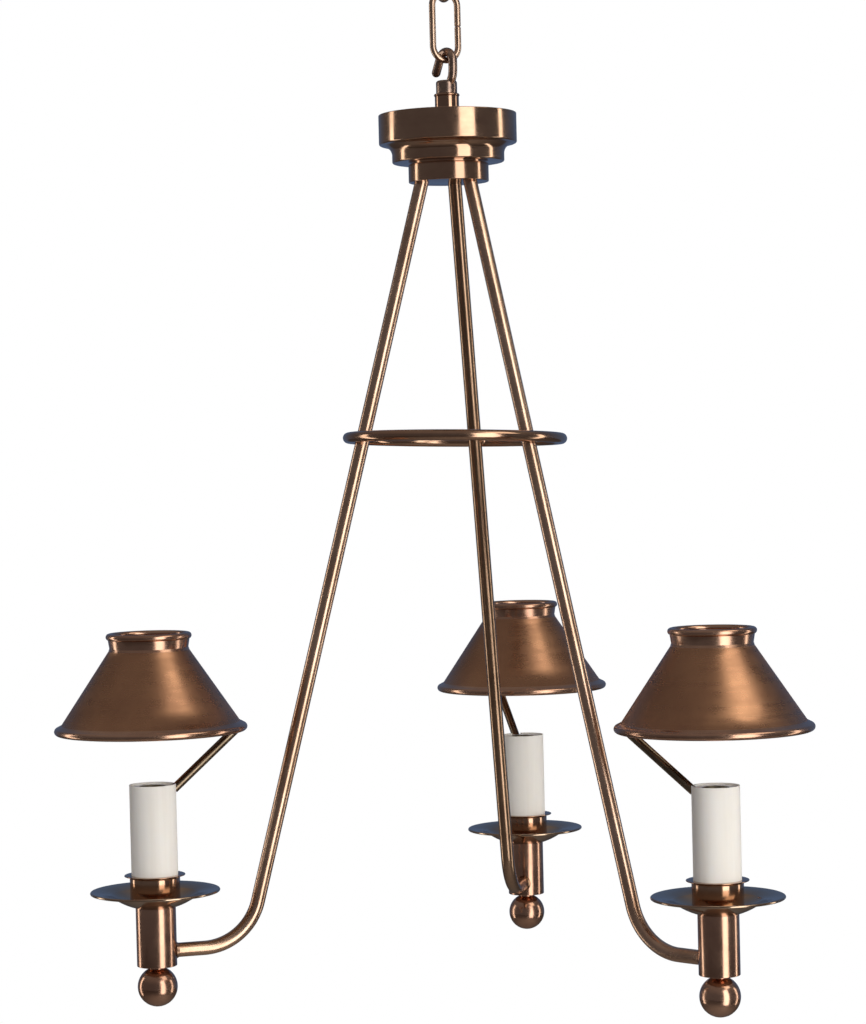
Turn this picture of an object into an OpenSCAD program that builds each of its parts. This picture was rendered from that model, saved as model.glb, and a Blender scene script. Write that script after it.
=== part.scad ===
// Three-light hanging chandelier: chain links, hook, canopy, tied tube arms,
// candle lamps and turning conical shades.
// Origin: inside top of the upper chain link. +Z is up. Millimetres.

/* [Chain] */
// wire thickness of a chain link
link_wire = 3.7; // [3:0.1:4.5]
// outer length of a chain link
link_len = 42.6; // [38:0.2:48]
// outer width of a chain link
link_wid = 19.6; // [18:0.2:23]
// turn of the lower link about the vertical
link_turn = 38; // [30:1:46]
// open butt seam in one limb of each link
seam_gap = 0.3; // [0.2:0.05:0.6]
// slack between two hanging pieces
hang_gap = 0.3; // [0.25:0.05:0.5]

/* [Hook] */
// wire thickness of the hook
hook_wire = 5.1; // [4.5:0.1:5.6]
// bend radius of the hook eye
hook_bend = 6.3; // [6:0.1:7.5]
// height of the eye centre over the boss
hook_rise = 10.1; // [9:0.1:13]
// bend radius of the flared open tip
flare_r = 14; // [10:0.5:20]
// sweep of the flared open tip
flare_sweep = 28; // [20:1:30]
// turn of the hook about the vertical
hook_turn = 50; // [42:1:58]
// boss diameter under the hook
boss_d = 12.1; // [11:0.1:14]
// boss height
boss_h = 7.5; // [6:0.1:10]
// collar diameter
collar_d = 13.8; // [13:0.1:18]
// collar height
collar_h = 11.8; // [9:0.1:16]
// bead thickness at the collar top
collar_bead = 1.8; // [1.2:0.1:2.4]

/* [Canopy] */
// diameter of the wide canopy wall
canopy_d = 79.2; // [76:0.2:90]
// height of the wide canopy wall
canopy_side_h = 17.2; // [14:0.2:24]
// radius of the hollow cove
cove_r = 6; // [5:0.1:7]
// height of the narrow wall under the cove
canopy_neck_h = 4.5; // [3.5:0.1:7]
// sheet thickness of the canopy
canopy_wall = 1.5; // [1.2:0.1:2]
// diameter of the arm plate
plate_d = 46; // [44:0.5:52]
// height of the arm plate
plate_h = 11.2; // [10:0.1:14]
// depth of the shadow step over the arm plate
shadow_step = 0.8; // [0.5:0.1:1.2]
// centre rod diameter
rod_d = 8; // [7:0.1:9]
// nut height
nut_h = 6.5; // [5:0.1:8]
// terminal block diameter
block_d = 34; // [32:0.5:40]

/* [Arms] */
// outer diameter of an arm tube
arm_d = 8; // [7.5:0.1:8.6]
// bore of an arm tube
arm_bore = 6; // [5:0.1:6.4]
// radius of the arm circle at the plate underside
arm_top_r = 16.3; // [15.5:0.1:17.5]
// drop from the plate underside to the level ends
arm_drop = 429.7; // [380:1:480]
// run from the arm corner to the lamp axis
arm_run = 52.3; // [46:0.5:60]
// bend radius of an arm
arm_bend = 32.5; // [26:0.5:36]
// depth of the tube in its socket in the plate
arm_socket = 7; // [5:0.1:7.4]
// drop of the tie ring under the plate
ring_drop = 147; // [100:1:220]
// wire thickness of the tie ring
ring_wire = 6.2; // [5.5:0.1:7]
// depth of the brazed saddle in the ring
ring_saddle = 1; // [0.6:0.1:1.4]
// diameter of the wire ways
cable_d = 3; // [2.5:0.1:3.4]

/* [Lamp] */
// radius of the circle of lamp axes
lamp_r = 182; // [170:1:200]
// stem diameter
stem_d = 22.4; // [21.5:0.1:25]
// stem height above the arm axis
stem_up = 25.2; // [22:0.2:32]
// stem height below the arm axis
stem_down = 7.9; // [7.5:0.1:12]
// ball finial diameter
ball_d = 22.3; // [20:0.1:25]
// drip pan diameter
pan_d = 72.4; // [68:0.2:80]
// diameter where the pan flange meets the bowl
pan_bowl_d = 49; // [46:0.5:54]
// drip pan depth
pan_depth = 9.3; // [8.5:0.1:11]
// pan and cup sheet thickness
pan_wall = 0.9; // [0.8:0.05:1.1]
// candle tube diameter
candle_d = 26; // [25.6:0.1:27]
// candle tube wall
candle_wall = 0.7; // [0.6:0.05:0.8]
// candle tube length
candle_len = 64.2; // [58:0.2:75]
// cup lip width beyond the cup wall
lip_out = 3; // [2:0.1:4]
// cup lip height over the pan rim
lip_rise = 8.7; // [8:0.1:11]
// lamp thread radius in the screw shell
thread_r = 6.95; // [6.9:0.01:7]

/* [Shade] */
// outer radius of the cone at its lower bead
cone_r = 51.9; // [48:0.2:56]
// outer radius of the neck
neck_r = 22; // [20:0.2:24]
// height of the cone
cone_h = 44.5; // [40:0.5:52]
// height of the neck to the upper bead
neck_h = 7.2; // [6:0.2:10]
// sheet thickness of the shade
shade_wall = 0.8; // [0.7:0.05:1]
// thickness of the lower bead
low_bead = 4.8; // [4.2:0.1:5.4]
// thickness of the upper bead
top_bead = 4.4; // [3.8:0.1:5]
// height of the lower bead over the candle top
shade_rise = 31.15; // [28:0.2:36]
// thickness of the carrier rod
carrier_d = 5; // [4.4:0.1:5.2]
// drop of the carrier rod under the candle top
carrier_drop = 2.5; // [2.3:0.1:3]
// turn of the left carrier from outward
turn_left = 180; // [0:1:360]
// turn of the right carrier from outward
turn_right = 202; // [0:1:360]
// turn of the back carrier from outward
turn_back = 30; // [0:1:360]

/* [Fits] */
// gap between a fixed and a turning piece
seat_gap = 0.3; // [0.25:0.05:0.4]
// radial running fit of the carrier band
run_fit = 0.05; // [0.03:0.01:0.08]

/* [Hidden] */
$fn = 96;
left_turn = 210;
right_turn = 330;
back_turn = 90;
eps = 1;
brass = [0.66, 0.46, 0.26];
bronze = [0.27, 0.2, 0.17];
wire_brass = [0.74, 0.52, 0.3];
ivory = [0.89, 0.86, 0.8];
ceramic = [0.93, 0.92, 0.88];
dark_cable = [0.16, 0.14, 0.13];
bright = [0.8, 0.74, 0.6];

// chain levels
link_r = (link_wid - link_wire) / 2;
link_limb = link_len - link_wid;
link_pitch = link_len - link_wire;
link1_top = link_wire / 2;
link1_bot = link1_top - link_pitch;
link2_top = link1_bot + link_wire + hang_gap;
link2_bot = link2_top - link_pitch;

// hook and canopy levels
hook_top = link2_bot + (link_wire + hook_wire) / 2 + hang_gap;
boss_top = hook_top - hook_bend - hook_rise;
boss_bot = boss_top - boss_h;
boss_round = 1.5;
canopy_top = boss_bot - collar_h;
canopy_r = canopy_d / 2;
edge_r = 1;
cove_x = canopy_r - edge_r - 0.4;
cove_z = canopy_top - canopy_side_h - cove_r;
neck_wall_r = cove_x - cove_r;
canopy_bot = cove_z - canopy_neck_h;
floor_top = canopy_bot + canopy_wall;
plate_bot = canopy_bot - plate_h;
rod_top = boss_bot + 5;
rod_bot = plate_bot + 2;
nut_af = 13;
nut_r = nut_af / 2 / cos(30);
block_bot = floor_top + nut_h;
block_h = 9;

// arm path in its own upright plane
arm_low = plate_bot - arm_drop;
corner_r = lamp_r - arm_run;
arm_tilt = atan((corner_r - arm_top_r) / arm_drop);
bend_sweep = 90 - arm_tilt;
bend_cut = arm_bend * tan(bend_sweep / 2);
arm_slant = arm_drop / cos(arm_tilt) - bend_cut;
bend_x = corner_r + bend_cut;
bend_z = arm_low + arm_bend;
stem_socket = 5;
level_end = lamp_r - stem_d / 2 + stem_socket;
cable_r = cable_d / 2;
cable_hole = cable_r + 0.3;
cable_top = (block_bot - plate_bot) / cos(arm_tilt) + 4;

// tie ring
ring_z = plate_bot - ring_drop;
ring_r = arm_top_r + ring_drop * tan(arm_tilt) + ((arm_d + ring_wire) / 2 - ring_saddle) / cos(arm_tilt);

// lamp levels
stem_top = arm_low + stem_up;
stem_bot = arm_low - stem_down;
stud_r = 3;
stud_len = 4;
ball_neck = 0.5;
ball_z = stem_bot - ball_neck - ball_d / 2;
nipple_r = 5;
nipple_bore = 2.2;
nipple_in = 10;
rim_z = stem_top + pan_depth;
pan_foot_r = 12;
cup_bot = stem_top + pan_wall;
cup_floor = cup_bot + 3;
cup_in_r = candle_d / 2 + seat_gap;
cup_r = cup_in_r + 0.7;
cup_chamfer = 2.2;
lip_z = rim_z + lip_rise;
lip_t = 0.6;
lip_fillet = 1.2;
candle_r = candle_d / 2;
candle_in_r = candle_r - candle_wall;
candle_bot = cup_floor + seat_gap;
candle_top = candle_bot + candle_len;
holder_top = candle_top - 1;
holder_r = 11.2;
holder_body = 30;
band_h = 9;
band_bot = holder_top - band_h;
shoulder_r = candle_in_r - 0.4;
shoulder_h = 3;
stalk_r = 7.5;
foot_r = 10;
foot_h = 5;
nipple_top = cup_floor + 8;
shell_t = 0.5;
shell_len = 19;
contact_r = 3.4;
contact_h = 1.2;
well_floor = holder_top - shell_len - 3;

// shade levels
bead_z = candle_top + shade_rise;
bead_r = cone_r - 0.3;
rod_z = candle_top - carrier_drop;
carrier_tilt = atan((bead_z - rod_z) / (bead_r - candle_r));
carrier_len = (bead_r - candle_r) / cos(carrier_tilt);
carrier_stop = 1.2;
carrier_back = 2.2;

// which sub-part to show

function arc_at(x, y, r, a0, a1, n) = [for (i = [0 : n])
    [x + r * cos(a0 + (a1 - a0) * i / n), y + r * sin(a0 + (a1 - a0) * i / n)]];

// upright ring segment in the XZ plane, angles from +X towards +Z
module bend_piece(centre_x, centre_z, bend, start, sweep, r_out) {
    translate([centre_x, 0, centre_z])
        rotate([90, 0, 0])
            rotate([0, 0, start])
                rotate_extrude(angle = sweep)
                    translate([bend, 0])
                        circle(r = r_out);
}

// the same, angles from +X towards -Z
module fall_piece(centre_x, centre_z, bend, start, sweep, r_out) {
    translate([centre_x, 0, centre_z])
        rotate([-90, 0, 0])
            rotate([0, 0, start])
                rotate_extrude(angle = sweep)
                    translate([bend, 0])
                        circle(r = r_out);
}

module fall_pipe(centre_x, centre_z, bend, start, sweep, r_out, r_in) {
    translate([centre_x, 0, centre_z])
        rotate([-90, 0, 0])
            rotate([0, 0, start])
                rotate_extrude(angle = sweep)
                    translate([bend, 0])
                        difference() {
                            circle(r = r_out);
                            circle(r = r_in);
                        }
}

// chain link in the XZ plane, seam in the +X limb
module chain_link(top_z) {
    upper_z = top_z - link_r;
    lower_z = upper_z - link_limb;
    difference() {
        union() {
            bend_piece(0, upper_z, link_r, 0, 180, link_wire / 2);
            bend_piece(0, lower_z, link_r, 180, 180, link_wire / 2);
            for (side = [-1, 1])
                translate([side * link_r, 0, lower_z])
                    cylinder(h = link_limb, d = link_wire);
        }
        translate([link_r, 0, (upper_z + lower_z) / 2])
            cube([2 * link_wire, 2 * link_wire, seam_gap], center = true);
    }
}

module upper_link() {
    color(wire_brass)
        rotate([0, 0, link_turn - 90])
            chain_link(link1_top);
}

module lower_link() {
    color(wire_brass)
        rotate([0, 0, link_turn])
            chain_link(link2_top);
}

// hook in the XZ plane, limb on the +X side
module hook_shape() {
    eye_z = boss_top + hook_rise;
    root_z = boss_top - 2;
    flare_x = -hook_bend - flare_r;
    end_d = hook_wire - 0.1;
    translate([hook_bend, 0, root_z]) {
        sphere(d = end_d);
        cylinder(h = eye_z - root_z, d = hook_wire);
    }
    bend_piece(0, eye_z, hook_bend, 0, 180, hook_wire / 2);
    fall_piece(flare_x, eye_z, flare_r, 0, flare_sweep, hook_wire / 2);
    translate([flare_x + flare_r * cos(flare_sweep), 0, eye_z - flare_r * sin(flare_sweep)])
        sphere(d = end_d);
}

module hanging_hook() {
    boss_r = boss_d / 2;
    color(bronze)
        difference() {
            union() {
                rotate([0, 0, hook_turn - 90])
                    hook_shape();
                translate([0, 0, boss_bot])
                    rotate_extrude()
                        polygon(concat([[0, 0], [boss_r, 0]],
                            arc_at(boss_r - boss_round, boss_h - boss_round, boss_round, 0, 90, 8),
                            [[0, boss_h]]));
            }
            translate([0, 0, boss_bot - eps])
                cylinder(h = rod_top - boss_bot + eps, d = rod_d);
        }
}

module hook_collar() {
    bead_centre = collar_h - collar_bead / 2;
    color(brass)
        translate([0, 0, canopy_top])
            difference() {
                union() {
                    cylinder(h = collar_h, d = collar_d);
                    translate([0, 0, bead_centre])
                        rotate_extrude()
                            translate([collar_d / 2 - 0.45, 0])
                                circle(d = collar_bead);
                }
                translate([0, 0, -eps])
                    cylinder(h = collar_h + 2 * eps, d = rod_d);
            }
}

module canopy_cover() {
    color(brass)
        translate([0, 0, canopy_top - canopy_wall])
            difference() {
                cylinder(h = canopy_wall, r = canopy_r - canopy_wall);
                translate([0, 0, -eps])
                    cylinder(h = canopy_wall + 2 * eps, d = rod_d);
            }
}

// path of one arm, local +Z runs up the slanted tube from the plate underside
module along_arm(turn) {
    rotate([0, 0, turn])
        translate([arm_top_r, 0, plate_bot])
            rotate([0, -arm_tilt, 0])
                children();
}

module canopy_body() {
    wall_bot = canopy_top - canopy_side_h;
    in_r = canopy_r - canopy_wall;
    in_cove = cove_r + canopy_wall;
    neck_in = neck_wall_r - canopy_wall;
    color(brass)
        difference() {
            rotate_extrude()
                polygon(concat([[rod_d / 2, canopy_bot], [neck_wall_r - edge_r, canopy_bot]],
                    arc_at(neck_wall_r - edge_r, canopy_bot + edge_r, edge_r, -90, 0, 6),
                    arc_at(cove_x, cove_z, cove_r, 180, 90, 14),
                    arc_at(canopy_r - edge_r, wall_bot + edge_r, edge_r, -90, 0, 6),
                    [[canopy_r, canopy_top], [in_r, canopy_top]],
                    [[in_r, wall_bot + canopy_wall]],
                    arc_at(cove_x - 0.2, cove_z, in_cove - 0.2, 90, 180, 14),
                    [[neck_in, floor_top], [rod_d / 2, floor_top]]));
            for (turn = [left_turn, right_turn, back_turn])
                along_arm(turn)
                    cylinder(h = cable_top, r = cable_hole);
        }
}

module centre_rod() {
    color(bright)
        translate([0, 0, rod_bot])
            cylinder(h = rod_top - rod_bot, d = rod_d);
}

module rod_nut() {
    color(bright)
        translate([0, 0, floor_top])
            difference() {
                cylinder(h = nut_h, r = nut_r, $fn = 6);
                translate([0, 0, -eps])
                    cylinder(h = nut_h + 2 * eps, d = rod_d);
            }
}

module terminal_block() {
    color(ceramic)
        difference() {
            translate([0, 0, block_bot])
                cylinder(h = block_h, d = block_d);
            translate([0, 0, block_bot - eps])
                cylinder(h = block_h + 2 * eps, d = rod_d);
            for (turn = [left_turn, right_turn, back_turn])
                along_arm(turn)
                    cylinder(h = cable_top, r = cable_r);
        }
}

module arm_plate() {
    color(brass)
        difference() {
            union() {
                translate([0, 0, plate_bot])
                    cylinder(h = plate_h - shadow_step, d = plate_d);
                translate([0, 0, plate_bot])
                    cylinder(h = plate_h, d = plate_d - 2 * shadow_step - 1.4);
            }
            translate([0, 0, rod_bot])
                cylinder(h = plate_h + eps, d = rod_d);
            for (turn = [left_turn, right_turn, back_turn])
                along_arm(turn) {
                    translate([0, 0, -arm_d])
                        cylinder(h = arm_d + arm_socket, d = arm_d);
                    cylinder(h = cable_top, r = cable_hole);
                }
        }
}

module tie_ring() {
    color(brass)
        difference() {
            translate([0, 0, ring_z])
                rotate_extrude()
                    translate([ring_r, 0])
                        circle(d = ring_wire);
            for (turn = [left_turn, right_turn, back_turn])
                along_arm(turn)
                    translate([0, 0, -arm_slant])
                        cylinder(h = arm_slant, d = arm_d);
        }
}

module arm_tube(turn) {
    color(brass)
        along_arm(turn)
            translate([0, 0, -arm_slant])
                difference() {
                    cylinder(h = arm_slant + arm_socket, d = arm_d);
                    translate([0, 0, -eps])
                        cylinder(h = arm_slant + arm_socket + 2 * eps, d = arm_bore);
                }
}

module arm_elbow(turn) {
    level_len = level_end - bend_x;
    color(brass)
        rotate([0, 0, turn]) {
            fall_pipe(bend_x, bend_z, arm_bend, 90, bend_sweep, arm_d / 2, arm_bore / 2);
            translate([bend_x, 0, arm_low])
                rotate([0, 90, 0])
                    difference() {
                        cylinder(h = level_len, d = arm_d);
                        translate([0, 0, -eps])
                            cylinder(h = level_len + 2 * eps, d = arm_bore);
                    }
        }
}

// lamp axis, local +X points outward
module at_lamp(turn) {
    rotate([0, 0, turn])
        translate([lamp_r, 0, 0])
            children();
}

module stem_piece() {
    bore_bot = arm_low - 3;
    difference() {
        translate([0, 0, stem_bot])
            cylinder(h = stem_up + stem_down, d = stem_d);
        translate([0, 0, bore_bot])
            cylinder(h = stem_top - bore_bot + eps, r = nipple_r);
        translate([0, 0, stem_bot - eps])
            cylinder(h = stud_len + eps, r = stud_r);
        translate([level_end - lamp_r, 0, arm_low])
            rotate([0, -90, 0])
                cylinder(h = stem_d / 2, d = arm_d);
        translate([0, 0, arm_low])
            rotate([0, -90, 0])
                cylinder(h = stem_d / 2, r = cable_hole);
    }
}

module ball_piece() {
    translate([0, 0, ball_z])
        sphere(d = ball_d);
    translate([0, 0, ball_z])
        cylinder(h = stem_bot - ball_z, r = stud_r + 1.5);
    translate([0, 0, stem_bot])
        cylinder(h = stud_len, r = stud_r);
}

module pan_piece() {
    pan_r = pan_d / 2;
    bowl_r = pan_bowl_d / 2;
    flange_drop = 2;
    rise = pan_depth - flange_drop - pan_wall;
    sphere_z = (bowl_r * bowl_r - pan_foot_r * pan_foot_r + rise * rise) / (2 * rise);
    sphere_r = sqrt(pan_foot_r * pan_foot_r + sphere_z * sphere_z);
    start = asin(pan_foot_r / sphere_r) - 90;
    finish = asin(bowl_r / sphere_r) - 90;
    under = arc_at(0, sphere_z, sphere_r, start, finish, 12);
    over = [for (i = [12 : -1 : 0]) under[i] + [0, pan_wall]];
    edge_z = pan_depth - pan_wall;
    edge_wire = 0.75;
    translate([0, 0, stem_top])
        difference() {
            union() {
                rotate_extrude()
                    polygon(concat([[nipple_r, 0]], under, [[pan_r - edge_wire, edge_z], [pan_r - edge_wire, pan_depth]],
                        over, [[nipple_r, pan_wall]]));
                translate([0, 0, pan_depth - edge_wire])
                    rotate_extrude()
                        translate([pan_r - edge_wire, 0])
                            circle(r = edge_wire);
            }
            translate([0, 0, -eps])
                cylinder(h = 3 * eps, r = nipple_r);
        }
}

module cup_piece() {
    fillet_z = lip_z - lip_t - lip_fillet;
    rotate_extrude()
        polygon(concat([[nipple_r, cup_bot], [cup_r - cup_chamfer, cup_bot], [cup_r, cup_bot + cup_chamfer]],
            arc_at(cup_r + lip_fillet, fillet_z, lip_fillet, 180, 90, 8),
            [[cup_r + lip_out, lip_z - lip_t], [cup_r + lip_out, lip_z], [cup_in_r, lip_z]],
            [[cup_in_r, cup_floor], [nipple_r, cup_floor]]));
}

module nipple_piece() {
    nipple_bot = stem_top - nipple_in;
    translate([0, 0, nipple_bot])
        difference() {
            cylinder(h = nipple_top - nipple_bot, r = nipple_r);
            translate([0, 0, -eps])
                cylinder(h = nipple_top - nipple_bot + 2 * eps, r = nipple_bore);
        }
}

module holder_piece() {
    body_bot = holder_top - holder_body;
    difference() {
        union() {
            translate([0, 0, body_bot])
                cylinder(h = holder_body, r = holder_r);
            translate([0, 0, band_bot - seat_gap - shoulder_h])
                cylinder(h = shoulder_h, r = shoulder_r);
            translate([0, 0, cup_floor])
                cylinder(h = body_bot - cup_floor, r = stalk_r);
            translate([0, 0, cup_floor])
                cylinder(h = foot_h, r = foot_r);
        }
        translate([0, 0, well_floor])
            cylinder(h = holder_top - well_floor + eps, r = thread_r + shell_t);
        translate([0, 0, cup_floor - eps])
            cylinder(h = nipple_top - cup_floor + eps, r = nipple_r);
        translate([0, 0, cup_floor])
            cylinder(h = well_floor - cup_floor + eps, r = cable_r);
    }
}

module shell_piece() {
    translate([0, 0, holder_top - shell_len])
        difference() {
            cylinder(h = shell_len, r = thread_r + shell_t);
            translate([0, 0, -eps])
                cylinder(h = shell_len + 2 * eps, r = thread_r);
        }
}

module contact_piece() {
    translate([0, 0, well_floor])
        cylinder(h = contact_h, r = contact_r);
}

// carrier rod axis, local +Z runs up to the shade bead
module along_carrier() {
    translate([candle_r, 0, rod_z])
        rotate([0, 90 - carrier_tilt, 0])
            children();
}

module tube_piece() {
    notch_r = carrier_d / 2 + 0.3;
    difference() {
        translate([0, 0, candle_bot])
            cylinder(h = candle_len, r = candle_r);
        translate([0, 0, candle_bot - eps])
            cylinder(h = candle_len + 2 * eps, r = candle_in_r);
        along_carrier()
            translate([0, 0, -2 * carrier_back])
                cylinder(h = 4 * carrier_back, r = notch_r);
        translate([candle_r - 2 * carrier_back, -notch_r, rod_z])
            cube([4 * carrier_back, 2 * notch_r, carrier_drop + eps]);
    }
}

module carrier_piece() {
    difference() {
        union() {
            translate([0, 0, band_bot])
                cylinder(h = band_h, r = candle_in_r);
            along_carrier()
                translate([0, 0, -carrier_back])
                    cylinder(h = carrier_len - carrier_stop + carrier_back, d = carrier_d);
        }
        translate([0, 0, band_bot - eps])
            cylinder(h = band_h + 4 * eps, r = holder_r + run_fit);
        translate([0, 0, bead_z])
            rotate_extrude()
                translate([bead_r, 0])
                    circle(d = low_bead);
    }
}

module shade_piece() {
    slant = shade_wall * 1.2;
    translate([0, 0, bead_z]) {
        rotate_extrude()
            polygon([[cone_r, 0], [neck_r, cone_h], [neck_r, cone_h + neck_h],
                [neck_r - shade_wall, cone_h + neck_h], [neck_r - shade_wall, cone_h - 0.4], [cone_r - slant, 0]]);
        rotate_extrude()
            translate([bead_r, 0])
                circle(d = low_bead);
        translate([0, 0, cone_h + neck_h])
            rotate_extrude()
                translate([neck_r, 0])
                    circle(d = top_bead);
    }
}

module lamp_stem(turn) {
    color(brass)
        at_lamp(turn)
            stem_piece();
}

module lamp_ball(turn) {
    color(brass)
        at_lamp(turn)
            ball_piece();
}

module lamp_pan(turn) {
    color(brass)
        at_lamp(turn)
            pan_piece();
}

module lamp_cup(turn) {
    color(brass)
        at_lamp(turn)
            cup_piece();
}

module lamp_nipple(turn) {
    color(bright)
        at_lamp(turn)
            nipple_piece();
}

module lamp_holder(turn) {
    color(ceramic)
        at_lamp(turn)
            holder_piece();
}

module lamp_shell(turn) {
    color(bright)
        at_lamp(turn)
            shell_piece();
}

module lamp_disc(turn) {
    color(bright)
        at_lamp(turn)
            contact_piece();
}

module lamp_candle(turn, swivel) {
    color(ivory)
        at_lamp(turn)
            rotate([0, 0, swivel])
                tube_piece();
}

module lamp_carrier(turn, swivel) {
    color(bronze)
        at_lamp(turn)
            rotate([0, 0, swivel])
                carrier_piece();
}

module lamp_shade(turn) {
    color(brass)
        at_lamp(turn)
            shade_piece();
}

upper_link();
lower_link();
hanging_hook();
hook_collar();
canopy_cover();
canopy_body();
centre_rod();
rod_nut();
terminal_block();
arm_plate();
tie_ring();
arm_tube(left_turn);  // arm_tube_left
arm_elbow(left_turn);  // arm_elbow_left
lamp_stem(left_turn);  // stem_left
lamp_ball(left_turn);  // ball_finial_left
lamp_pan(left_turn);  // drip_pan_left
lamp_cup(left_turn);  // candle_cup_left
lamp_nipple(left_turn);  // nipple_left
lamp_holder(left_turn);  // lampholder_left
lamp_shell(left_turn);  // screw_shell_left
lamp_disc(left_turn);  // lamp_contact_left
lamp_candle(left_turn, turn_left);  // candle_tube_left
lamp_carrier(left_turn, turn_left);  // shade_carrier_left
lamp_shade(left_turn);  // shade_left
arm_tube(right_turn);  // arm_tube_right
arm_elbow(right_turn);  // arm_elbow_right
lamp_stem(right_turn);  // stem_right
lamp_ball(right_turn);  // ball_finial_right
lamp_pan(right_turn);  // drip_pan_right
lamp_cup(right_turn);  // candle_cup_right
lamp_nipple(right_turn);  // nipple_right
lamp_holder(right_turn);  // lampholder_right
lamp_shell(right_turn);  // screw_shell_right
lamp_disc(right_turn);  // lamp_contact_right
lamp_candle(right_turn, turn_right);  // candle_tube_right
lamp_carrier(right_turn, turn_right);  // shade_carrier_right
lamp_shade(right_turn);  // shade_right
arm_tube(back_turn);  // arm_tube_back
arm_elbow(back_turn);  // arm_elbow_back
lamp_stem(back_turn);  // stem_back
lamp_ball(back_turn);  // ball_finial_back
lamp_pan(back_turn);  // drip_pan_back
lamp_cup(back_turn);  // candle_cup_back
lamp_nipple(back_turn);  // nipple_back
lamp_holder(back_turn);  // lampholder_back
lamp_shell(back_turn);  // screw_shell_back
lamp_disc(back_turn);  // lamp_contact_back
lamp_candle(back_turn, turn_back);  // candle_tube_back
lamp_carrier(back_turn, turn_back);  // shade_carrier_back
lamp_shade(back_turn);  // shade_back
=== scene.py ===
import math
import bpy
from mathutils import Matrix, Vector


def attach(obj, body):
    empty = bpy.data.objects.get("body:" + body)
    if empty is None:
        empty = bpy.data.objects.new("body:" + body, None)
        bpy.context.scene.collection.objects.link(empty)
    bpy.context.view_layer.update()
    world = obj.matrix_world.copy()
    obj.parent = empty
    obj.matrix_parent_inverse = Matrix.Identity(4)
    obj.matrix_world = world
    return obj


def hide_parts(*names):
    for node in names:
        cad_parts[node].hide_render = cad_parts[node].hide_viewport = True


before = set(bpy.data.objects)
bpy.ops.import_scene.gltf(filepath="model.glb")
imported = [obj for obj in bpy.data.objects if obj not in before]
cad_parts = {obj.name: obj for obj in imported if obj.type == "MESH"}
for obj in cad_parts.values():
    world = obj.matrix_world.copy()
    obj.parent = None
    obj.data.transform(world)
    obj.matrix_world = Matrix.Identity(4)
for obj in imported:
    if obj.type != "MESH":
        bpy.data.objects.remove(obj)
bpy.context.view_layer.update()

mm = 0.001
print("stage: frame loaded")

lampTurn = {"left": 210.0, "right": 330.0, "back": 90.0}
carrierTurn = {"left": 180.0, "right": 202.0, "back": 30.0}

# shared levels in millimetres, the same values as the solids
level = {
    "linkTop": 1.85, "linkTwoTop": -33.05, "bossTop": -83.65, "bossBottom": -91.15,
    "canopyTop": -102.95, "coveZ": -126.15, "canopyBottom": -130.65, "plateBottom": -141.85,
    "ring": -288.85, "bead": -446.8, "candleTop": -477.95, "holderTop": -478.95, "lip": -528.35,
    "candleBottom": -542.15, "cupFloor": -542.45, "cupBottom": -545.45, "stemTop": -546.35,
    "armLow": -571.55, "stemBottom": -579.45, "ballZ": -591.1,
}
lampRadius = 182.0
stemRadius = 11.2
candleRadius = 13.0


def lampCentre(side):
    turn = math.radians(lampTurn[side])
    return lampRadius * math.cos(turn), lampRadius * math.sin(turn)


def arcPoints(x, z, r, start, end, count):
    steps = [math.radians(start + (end - start) * i / count) for i in range(count + 1)]
    return [(x + r * math.cos(a), z + r * math.sin(a)) for a in steps]


def finishMesh(name, verts, faces, sharpAngle):
    mesh = bpy.data.meshes.new(name)
    mesh.from_pydata([tuple(c * mm for c in v) for v in verts], [], faces)
    mesh.validate()
    mesh.shade_smooth()
    mesh.set_sharp_from_angle(angle=math.radians(sharpAngle))
    obj = bpy.data.objects.new(name, mesh)
    bpy.context.scene.collection.objects.link(obj)
    return obj


def lathe(name, profile, centre=(0.0, 0.0), closed=True, segments=144, sharpAngle=32.0):
    verts, rings, faces = [], [], []
    for r, z in profile:
        if r < 1e-6:
            rings.append([len(verts)])
            verts.append((centre[0], centre[1], z))
            continue
        ring = []
        for i in range(segments):
            a = 2 * math.pi * i / segments
            ring.append(len(verts))
            verts.append((centre[0] + r * math.cos(a), centre[1] + r * math.sin(a), z))
        rings.append(ring)
    pairs = list(zip(rings[:-1], rings[1:]))
    if closed:
        pairs.append((rings[-1], rings[0]))
    for low, high in pairs:
        for i in range(segments):
            j = (i + 1) % segments
            if len(low) == 1 and len(high) == 1:
                break
            if len(low) == 1:
                faces.append((low[0], high[j], high[i]))
            elif len(high) == 1:
                faces.append((low[i], low[j], high[0]))
            else:
                faces.append((low[i], low[j], high[j], high[i]))
    return finishMesh(name, verts, faces, sharpAngle)


def sweep(name, path, radii, closed=False, segments=40, sharpAngle=40.0):
    points = [Vector(p) for p in path]
    count = len(points)
    tangents = []
    for i in range(count):
        before = points[i - 1] if i > 0 or closed else points[i]
        after = points[(i + 1) % count] if i < count - 1 or closed else points[i]
        tangents.append((after - before).normalized())
    side = tangents[0].orthogonal().normalized()
    verts, rings, faces = [], [], []
    for i, point in enumerate(points):
        if i:
            side = tangents[i - 1].rotation_difference(tangents[i]) @ side
        side = (side - tangents[i] * side.dot(tangents[i])).normalized()
        other = tangents[i].cross(side)
        ring = []
        for k in range(segments):
            a = 2 * math.pi * k / segments
            spoke = side * math.cos(a) + other * math.sin(a)
            ring.append(len(verts))
            verts.append(tuple(point + spoke * radii[i]))
        rings.append(ring)
    pairs = list(zip(rings[:-1], rings[1:]))
    if closed:
        pairs.append((rings[-1], rings[0]))
    for low, high in pairs:
        for k in range(segments):
            j = (k + 1) % segments
            faces.append((low[k], low[j], high[j], high[k]))
    if not closed:
        faces.append(tuple(reversed(rings[0])))
        faces.append(tuple(rings[-1]))
    return finishMesh(name, verts, faces, sharpAngle)


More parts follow.
